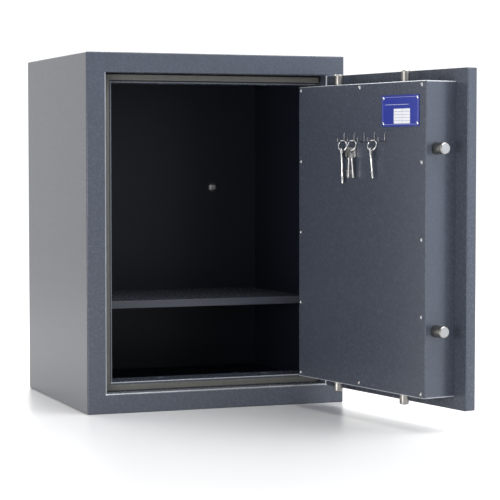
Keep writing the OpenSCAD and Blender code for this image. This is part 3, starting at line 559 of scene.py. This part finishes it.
def copies_at(obj, matrices):
    """One piece made of a copy of obj at each place."""
    made = []
    for matrix in matrices:
        twin = obj.copy()
        twin.data = obj.data.copy()
        bpy.context.collection.objects.link(twin)
        put(twin, matrix)
        made.append(twin)
    name = obj.name
    bpy.data.objects.remove(obj)
    return gather(name, made)


def close_ends(obj):
    """Closes the open ends of a tube and turns its faces outwards."""
    edit_whole(obj)
    bpy.ops.mesh.remove_doubles(threshold=WELD)
    bpy.ops.mesh.fill_holes(sides=0)
    bpy.ops.mesh.select_all(action="SELECT")
    bpy.ops.mesh.normals_make_consistent(inside=False)
    done()


def low_dome(name, radius, height):
    """A low round head that stands on the plane z = 0."""
    full = (radius**2 + height**2) / (2 * height)
    centre = (0, 0, height - full)
    deselect()
    bpy.ops.mesh.primitive_uv_sphere_add(segments=40, ring_count=32, radius=full, location=centre)
    obj = new_piece(name)
    edit_whole(obj)
    bpy.ops.mesh.bisect(plane_co=(0, 0, 0), plane_no=(0, 0, 1), use_fill=True, clear_inner=True)
    done()
    return obj


# Sheet metal, bars and other pieces that keep their CAD shape, with rounded edges

ON_LINE = 0.05


def on_outline(point):
    """Closed place of a point of the open door, and whether it lies on the case's sides and on its ends."""
    spot = CLOSED_FROM_OPEN @ point / MM
    on_side = min(abs(spot.x - CASE_LEFT), abs(spot.x - CASE_RIGHT)) < ON_LINE
    on_end = min(abs(spot.z - CASE_LOW), abs(spot.z - CASE_HIGH)) < ON_LINE
    return spot, on_side, on_end


def cover_rim(a, b):
    """Outer edges of the cover's inner face."""
    first, side_a, end_a = on_outline(a)
    second, side_b, end_b = on_outline(b)
    on_face = min(first.y, second.y) > COVER_Y / MM - ON_LINE
    return on_face and ((side_a and side_b) or (end_a and end_b))


def case_corner(a, b):
    """Outer corner folds of the case, which run from the door plate to the cover."""
    first, side_a, end_a = on_outline(a)
    second, side_b, end_b = on_outline(b)
    shortest = 5.0
    return side_a and side_b and end_a and end_b and abs(first.y - second.y) > shortest


ROUNDED = {"inner_cover": (cover_rim, RIM_R), "bolt_case": (case_corner, CORNER_R)}
LOOKS = {
    "outer_casing": "casing_coat",
    "rear_panel": "casing_coat",
    "shelf": "casing_coat",
    "inner_cover": "door_coat",
    "bolt_case": "door_coat",
}
EASED = {
    "outer_casing": 0.0,
    "front_frame": 0.0,
    "rear_panel": 0.9,
    "inner_liner": 0.0,
    "strike_rail_top": 1.4,
    "strike_rail_bottom": 1.4,
    "strike_rail_side": 1.4,
    "fire_seal": 0.8,
    "shelf": 0.8,
    "shelf_pegs": 0.4,
    "anchor_sleeves": 0.4,
    "hinge_frame_knuckles": 0.8,
    "hinge_door_knuckles": 0.8,
    "hinge_pins": 0.6,
    "door_skin": 0.0,
    "door_back_sheet": 0.7,
    "bolt_case": 0.0,
    "inner_cover": 0.0,
    "type_plate": 0.15,
    "side_bolts": 0.3,
    "top_bolts": 0.3,
    "bottom_bolts": 0.3,
    "handle_rosette": 1.6,
    "keyhole_escutcheon": 0.8,
    "keyhole_cover": 0.6,
    "cover_pivot": 0.4,
}


def eased_copy(node, width):
    """Makes a piece with the shape of a CAD node, welded into one skin, with its sheet edges rounded."""
    source = NODES[node]
    piece = source.copy()
    piece.data = source.data.copy()
    piece.parent = None
    for key in list(piece.keys()):
        del piece[key]
    piece.name = node + "_skin"
    bpy.context.collection.objects.link(piece)
    edit_whole(piece)
    bpy.ops.mesh.remove_doubles(threshold=WELD)
    bpy.ops.mesh.customdata_custom_splitnormals_clear()
    bpy.ops.mesh.dissolve_limited(angle_limit=math.radians(0.5))
    done()
    if node in ROUNDED:
        test, radius = ROUNDED[node]
        choose_edges(piece, test)
        round_chosen(radius, 6)
    if width:
        ease(piece, width)
    smooth(piece)
    finish_piece(piece, BODY_OF[node], SLOT_OF[node], node, look=LOOKS.get(node))


for name, node in NODES.items():
    node.data.materials.clear()
    node.data.materials.append(FINISHES[SLOT_OF[name]])
for node, width in EASED.items():
    eased_copy(node, width * MM)


# Black strips beside the fire seal, on the front of the rails: painted shadow in the gaps there


def gap_shade_run(name, near, far):
    """A flat strip up the side and along the top, between two distances from the opening's edge."""
    back, front = REBATE_Y, REBATE_Y - 0.8 * MM
    left, right_end = -OPENING_HALF, 208.5

    def strip(x0, x1, z0, z1):
        return block(name, (x0 * MM, front, z0 * MM), (x1 * MM, back, z1 * MM))

    run = strip(left + near, left + far, OPENING_LOW + near, OPENING_HIGH - near)
    join_solids(run, strip(left + near, right_end, OPENING_HIGH - far, OPENING_HIGH - near))
    ease(run, 0.2 * MM, 2)
    return run


# Painted shadow: near-black strips fill the gaps beside the fire seal where there is only shade
GAP_SHADE_NAME = "seal_gap_shade"
gap_shade = gather(GAP_SHADE_NAME, [gap_shade_run(GAP_SHADE_NAME, 0.2, 2.4), gap_shade_run(GAP_SHADE_NAME, 12.6, 14.4)])
smooth(gap_shade)
finish_piece(gap_shade, BODY_OF["fire_seal"], SLOT_OF["fire_seal"], look="gap_shade")


# Small fittings on the inner cover, modelled on the closed door

INWARDS = Matrix.Rotation(-QUARTER, 4, "X")


def on_cover(x, z, lift=0.0, turn=0.0):
    """Place of a fitting made along +Z that stands on the cover of the open door."""
    spot = Matrix.Translation((x * MM, COVER_Y + lift * MM, z * MM))
    return DOOR @ spot @ INWARDS @ Matrix.Rotation(turn, 4, "Z")


def cover_screw():
    """Pan-head screw with a cross recess that narrows to its floor."""
    head = low_dome("cover_screw_heads", 3.5 * MM, 2.2 * MM)
    reach, half, deep, over = 1.9 * MM, 0.45 * MM, 0.9 * MM, 3.0 * MM
    for turn in (0.0, QUARTER):
        slot = block("slot", (-reach, -half, deep), (reach, half, over))
        choose_faces(slot, lambda normal: normal.z < -FACING)
        bpy.ops.transform.resize(value=(0.45, 0.6, 1.0), center_override=(0, 0, deep))
        done()
        put(slot, Matrix.Rotation(turn, 4, "Z"))
        cut_solids(head, slot)
    join_solids(head, rod("shank", (0, 0, -7.5 * MM), "Z", 7.7 * MM, 2.0 * MM, 20))
    return head


SCREW_LOW, SCREW_PITCH = 67.5, 128.75
SCREW_ROWS = [SCREW_LOW + SCREW_PITCH * i for i in range(5)]
SCREW_COLUMNS = (-167.5, 204.5)
SCREW_TURN = 0.7
screw_spots = [(x, z) for z in SCREW_ROWS for x in SCREW_COLUMNS]
screw_spots += [(CASE_MIDDLE_X, z) for z in (SCREW_ROWS[0], SCREW_ROWS[-1])]
screw_places = [on_cover(x, z, turn=SCREW_TURN * i * i) for i, (x, z) in enumerate(screw_spots)]
screws = copies_at(cover_screw(), screw_places)
smooth(screws, 40.0)
finish_piece(screws, "door", SLOT_OF["cover_screws"], "cover_screws", look="screw_zinc")


def plate_rivet():
    """Low domed rivet with a dimple left by its pulled stem."""
    head = low_dome("plate_rivet_heads", 2.4 * MM, 1.0 * MM)
    cut_solids(head, rod("dimple", (0, 0, 0.65 * MM), "Z", 1.0 * MM, 0.75 * MM, 20))
    join_solids(head, rod("stem", (0, 0, -3.3 * MM), "Z", 3.4 * MM, 1.2 * MM, 16))
    return head


RIVET_INSET, PLATE_THICK = 5.0, 0.8
RIVET_COLUMNS = (PLATE_LEFT + RIVET_INSET, PLATE_RIGHT - RIVET_INSET)
RIVET_ROWS = (PLATE_LOW + RIVET_INSET, PLATE_HIGH - RIVET_INSET)
rivet_places = [on_cover(x, z, PLATE_THICK) for x in RIVET_COLUMNS for z in RIVET_ROWS]
rivets = copies_at(plate_rivet(), rivet_places)
smooth(rivets, 40.0)
finish_piece(rivets, "door", "bright_steel", "plate_rivets")


# Key hooks of bent wire, sized in millimetres

HOOK_X = [60.0, 29.0, -2.0, -33.0, -64.0]
HOOK_Z = 489.0
HOOK_BEND = 2.0


def wire_end(name, radius, place):
    """The open end of a wire that is drawn along Y, left in edit mode with its edges selected."""
    deselect()
    upright = (QUARTER, 0, 0)
    bpy.ops.mesh.primitive_circle_add(vertices=14, radius=radius * MM, location=place, rotation=upright)
    obj = new_piece(name)
    edit()
    bpy.ops.mesh.select_mode(type="EDGE")
    bpy.ops.mesh.select_all(action="SELECT")
    return obj


def draw_on(x, y, z):
    """Draws the end of a wire on by a step."""
    bpy.ops.mesh.extrude_region_move(TRANSFORM_OT_translate={"value": (x * MM, y * MM, z * MM)})


def bend(y, z, quarter):
    """Bends the end of a wire by a quarter turn about a line along X."""
    bpy.ops.mesh.spin(steps=6, angle=quarter * QUARTER, center=(0, y * MM, z * MM), axis=(1, 0, 0))


def wire_hook():
    """A wire through the cover, down it, outwards and up at its tip, with y counted from the cover."""
    behind, back, drop, tip, upturn = 4.5, 1.2, 15.0, 15.0, 6.0
    fix = HOOK_Z + drop
    r = HOOK_BEND
    start = (0, -behind * MM, fix * MM)
    wire = wire_end("wire_hooks", 1.1, start)
    draw_on(0, behind + back - r, 0)
    bend(back - r, fix - r, 1)
    draw_on(0, 0, -(drop - 2 * r))
    bend(back + r, HOOK_Z + r, -1)
    draw_on(0, tip - back - 2 * r, 0)
    bend(tip - r, HOOK_Z + r, -1)
    draw_on(0, 0, upturn - r)
    top = HOOK_Z + upturn
    for rise, narrower in ((0.6, 0.8), (0.4, 0.45)):
        top += rise
        draw_on(0, 0, rise)
        end = (0, tip * MM, top * MM)
        bpy.ops.transform.resize(value=(narrower, narrower, 1.0), center_override=end)
    done()
    close_ends(wire)
    join_solids(wire, rod("nut", start, "Y", 3.0 * MM, 3.0 * MM, 6))
    return wire


hooks = copies_at(wire_hook(), [DOOR @ Matrix.Translation((x * MM, COVER_Y, 0)) for x in HOOK_X])
smooth(hooks, 40.0)
finish_piece(hooks, "door", SLOT_OF["key_hooks"], "key_hooks", look="hook_wire")


# Keys on split rings, sized in millimetres and with their angles in degrees

RING_R = 9.0
RING_TURN = math.radians(18)
RING_TOP = HOOK_Z + 2.3
RING_OUT = 3.8
KEY_DROP = 1.5


def at_hook(i):
    return DOOR @ Matrix.Translation((HOOK_X[i] * MM, COVER_Y + RING_OUT * MM, RING_TOP * MM))


def split_ring(name, i, lean):
    """Two turns of flattened wire side by side, with the step where one turn passes into the other."""
    thin, apart, flattened = 0.44, 0.455, 1.9
    crossing, crossing_angle = 6, 4.0
    start = (RING_R * MM, 0, -apart * MM)

    def wind(steps, angle):
        bpy.ops.mesh.spin(steps=steps, angle=math.radians(angle), center=(0, 0, 0), axis=(0, 0, 1))

    wire = wire_end(name, thin, start)
    bpy.ops.transform.resize(value=(flattened, 1.0, 1.0), center_override=start)
    wind(56, 360.0 - crossing * crossing_angle)
    for _ in range(crossing):
        wind(1, crossing_angle)
        bpy.ops.transform.translate(value=(0, 0, 2 * apart * MM / crossing))
    wind(56, 360.0 - crossing * crossing_angle)
    done()
    close_ends(wire)
    hang = Matrix.Rotation(lean, 4, "X") @ Matrix.Rotation(RING_TURN, 4, "Z")
    hang = hang @ Matrix.Translation((0, 0, -RING_R * MM)) @ Matrix.Rotation(QUARTER, 4, "X")
    put(wire, at_hook(i) @ hang)
    smooth(wire, 50.0)
    return wire


def ring_point(angle, lean):
    """Point of a ring at an angle from its lowest place, counted from where it hangs."""
    along = RING_R * math.sin(angle)
    drop = -RING_R - RING_R * math.cos(angle)
    side = along * math.sin(RING_TURN)
    y = side * math.cos(lean) - drop * math.sin(lean)
    z = side * math.sin(lean) + drop * math.cos(lean)
    return Vector((along * math.cos(RING_TURN), y, z)) * MM


def flat_key(name, length, notches):
    """A key in the XZ plane with its ring hole at the origin and its tip down."""
    half, wide, top, low = 1.2 * MM, 7.0 * MM, 6.4 * MM, -11.6 * MM
    tip = top - length * MM
    blade_out = 5.0 * MM
    key = block(name, (-wide, -half, low), (wide, half, top))
    choose_edges(key, lambda a, b: abs(a.y - b.y) > half)
    round_chosen(3.6 * MM, 6)
    choose_faces(key, lambda normal: abs(normal.y) > FACING)
    bpy.ops.mesh.inset(thickness=1.5 * MM, depth=-0.35 * MM, use_individual=True)
    done()
    cut_solids(key, rod("hole", (0, -4.0 * MM, 0), "Y", 8.0 * MM, 3.4 * MM, 36))
    stem = rod("stem", (0, 0, tip), "Z", low - tip + 1.0 * MM, 2.0 * MM, 28)
    collar = rod("collar", (0, 0, low - 3.4 * MM), "Z", 1.8 * MM, 2.7 * MM, 28)
    blade = block("blade", (0, -half, tip + 2.0 * MM), (blade_out, half, tip + 13.0 * MM))
    for z, deep, tall in notches:
        notch_low = (blade_out - deep * MM, -3.0 * MM, tip + z * MM)
        notch_high = (blade_out + 2.0 * MM, 3.0 * MM, tip + (z + tall) * MM)
        cut_solids(blade, block("notch", notch_low, notch_high))
    join_solids(key, stem, collar, blade)
    ease(key, 0.22 * MM, 2)
    return key


def key_place(i, angle, lean, turn, back, tilt):
    hole = ring_point(math.radians(angle), math.radians(lean)) - Vector((0, 0, KEY_DROP * MM))
    way = Matrix.Rotation(math.radians(turn), 4, "Z") @ Matrix.Rotation(math.radians(tilt), 4, "Y")
    return at_hook(i) @ Matrix.Translation(hole) @ way @ Matrix.Rotation(math.radians(back), 4, "X")


# Each notch has its place above the tip, its depth and its height
LONG_KEY, NOTCHES_LONG = 62.0, [(3.6, 1.7, 1.4), (6.6, 2.4, 1.4), (9.8, 1.2, 1.6)]
SHORT_KEY, NOTCHES_SHORT = 53.0, [(3.4, 2.3, 1.3), (6.2, 1.4, 1.5), (9.6, 2.0, 1.4)]
for name, i, lean in (("key_ring_a", 0, 9.0), ("key_ring_b", 1, 18.0), ("key_ring_c", 3, 18.0)):
    ring = split_ring(name + "_wire", i, math.radians(lean))
    finish_piece(ring, BODY_OF[name], "bright_steel", name)

long_key = flat_key("long_key", LONG_KEY, NOTCHES_LONG)
put(long_key, key_place(0, angle=0, lean=9, turn=140, back=2, tilt=0))
short_key = flat_key("short_key", SHORT_KEY, NOTCHES_SHORT)
put(short_key, key_place(3, angle=0, lean=18, turn=140, back=5, tilt=0))
pair = flat_key("key_pair", SHORT_KEY, NOTCHES_SHORT)
left_place = key_place(1, angle=-15, lean=18, turn=80, back=0, tilt=5)
right_place = key_place(1, angle=15, lean=18, turn=80, back=0, tilt=-2)
pair = copies_at(pair, [left_place, right_place])
for piece, node in ((long_key, "key_a"), (short_key, "key_c"), (pair, "keys_b")):
    smooth(piece, 35.0)
    finish_piece(piece, BODY_OF[node], SLOT_OF[node], node)


# Handle on the door's face, modelled on the closed door


def handle():
    """Cast lever with a round hub, a tapered arm, a bore for the spindle and a hole for the grub screw."""
    x, z = -80.0 * MM, 325.0 * MM
    outer, arm_half = FRONT_Y - 48.0 * MM, 8.0 * MM
    arm_outer, arm_inner = FRONT_Y - 46.0 * MM, FRONT_Y - 32.0 * MM
    tip = x + 105.0 * MM
    hub = rod("handle_grip", (x, outer, z), "Y", 38.5 * MM, 15.0 * MM, 64)
    choose_edges(hub, lambda a, b: max(a.y, b.y) < outer + WELD)
    round_chosen(3.0 * MM, 6)
    arm = block("arm", (x, arm_outer, z - arm_half), (tip, arm_inner, z + arm_half))
    choose_faces(arm, lambda normal: normal.x > FACING)
    bpy.ops.transform.resize(value=(1.0, 0.85, 0.8), center_override=(tip, (arm_outer + arm_inner) / 2, z))
    done()
    choose_edges(arm, lambda a, b: max(a.x, b.x) > x + 1.0 * MM)
    round_chosen(4.5 * MM, 7)
    join_solids(hub, arm)
    bore = rod("bore", (x, FRONT_Y - 44.0 * MM, z), "Y", 40.0 * MM, 6.05 * MM, 40)
    grub = rod("grub", (x, FRONT_Y - 20.75 * MM, z - 17.0 * MM), "Z", 17.0 * MM, 2.55 * MM, 24)
    cut_solids(hub, bore, grub)
    ease(hub, 0.5 * MM, 2, 50.0)
    put(hub, DOOR)
    smooth(hub, 40.0)
    return hub


finish_piece(handle(), BODY_OF["handle_lever"], SLOT_OF["handle_lever"], "handle_lever")


# Floor, light and camera

deselect()
bpy.ops.mesh.primitive_plane_add(size=14.0, location=(0, 0, 0))
floor = bpy.context.object
floor.name = "studio_floor"
white = shade(0.92, 0.92, 0.92)
paper = Finish("studio_white", Base_Color=white, Roughness=0.3, Coat_Weight=0.8, Coat_Roughness=0.3)
floor.data.materials.append(paper.material)

# White surroundings that grow brighter to the rear right
world = bpy.data.worlds.new("studio")
world.use_nodes = True
sky = world.node_tree
backdrop = sky.nodes["Background"]
backdrop.inputs["Color"].default_value = shade(1.0, 1.0, 1.0)
where = sky.nodes.new("ShaderNodeTexCoord")
along = sky.nodes.new("ShaderNodeVectorMath")
along.operation = "DOT_PRODUCT"
along.inputs[1].default_value = (0.45, 0.89, 0.0)
sky.links.new(where.outputs["Generated"], along.inputs[0])
fade = sky.nodes.new("ShaderNodeMapRange")
fade.interpolation_type = "SMOOTHSTEP"
for socket, value in (("From Min", -0.3), ("From Max", 0.88), ("To Min", 0.66), ("To Max", 1.12)):
    fade.inputs[socket].default_value = value
sky.links.new(along.outputs["Value"], fade.inputs["Value"])
sky.links.new(fade.outputs["Result"], backdrop.inputs["Strength"])
bpy.context.scene.world = world
bpy.context.scene.view_settings.view_transform = "Standard"


def soft_light(name, place, aim, size, power, tint=(1.0, 1.0, 1.0)):
    data = bpy.data.lights.new(name, "AREA")
    data.shape = "RECTANGLE"
    data.size, data.size_y = size
    data.energy = power
    data.color = tint
    lamp = bpy.data.objects.new(name, data)
    lamp.location = place
    lamp.visible_camera = False
    lamp.rotation_euler = (Vector(aim) - Vector(place)).to_track_quat("-Z", "Y").to_euler()
    bpy.context.collection.objects.link(lamp)


COOL = (0.86, 0.97, 1.18)
WARM = (1.0, 0.95, 0.95)
soft_light("overhead_soft_box", (0.7, -1.1, 2.3), (0.2, -0.3, 0.2), size=(2.4, 1.3), power=62.0)
soft_light("right_soft_box", (2.6, -3.0, 1.3), (0.2, -0.4, 0.4), size=(2.4, 2.6), power=33.0, tint=COOL)
soft_light("rear_strip", (-0.3, 1.9, 2.0), (0.1, -0.2, 0.6), size=(3.4, 1.0), power=45.0)
soft_light("backdrop_light", (1.2, 4.6, 3.0), (1.2, 4.6, 0.0), size=(6.0, 3.4), power=90.0)
soft_light("left_soft_box", (-1.8, -1.5, 0.35), (0.2, -0.45, 0.25), size=(0.9, 0.5), power=17.0, tint=WARM)

view = bpy.data.cameras.new("photo_view")
view.sensor_width = 36.0
view.lens = 133.272
view.clip_end = 50.0
camera = bpy.data.objects.new("photo_view", view)
camera.location = (-1.15967, -3.39436, 0.46764)
camera.rotation_euler = (math.radians(87.0333), 0, -math.radians(20.9824))
bpy.context.collection.objects.link(camera)
bpy.context.scene.camera = camera
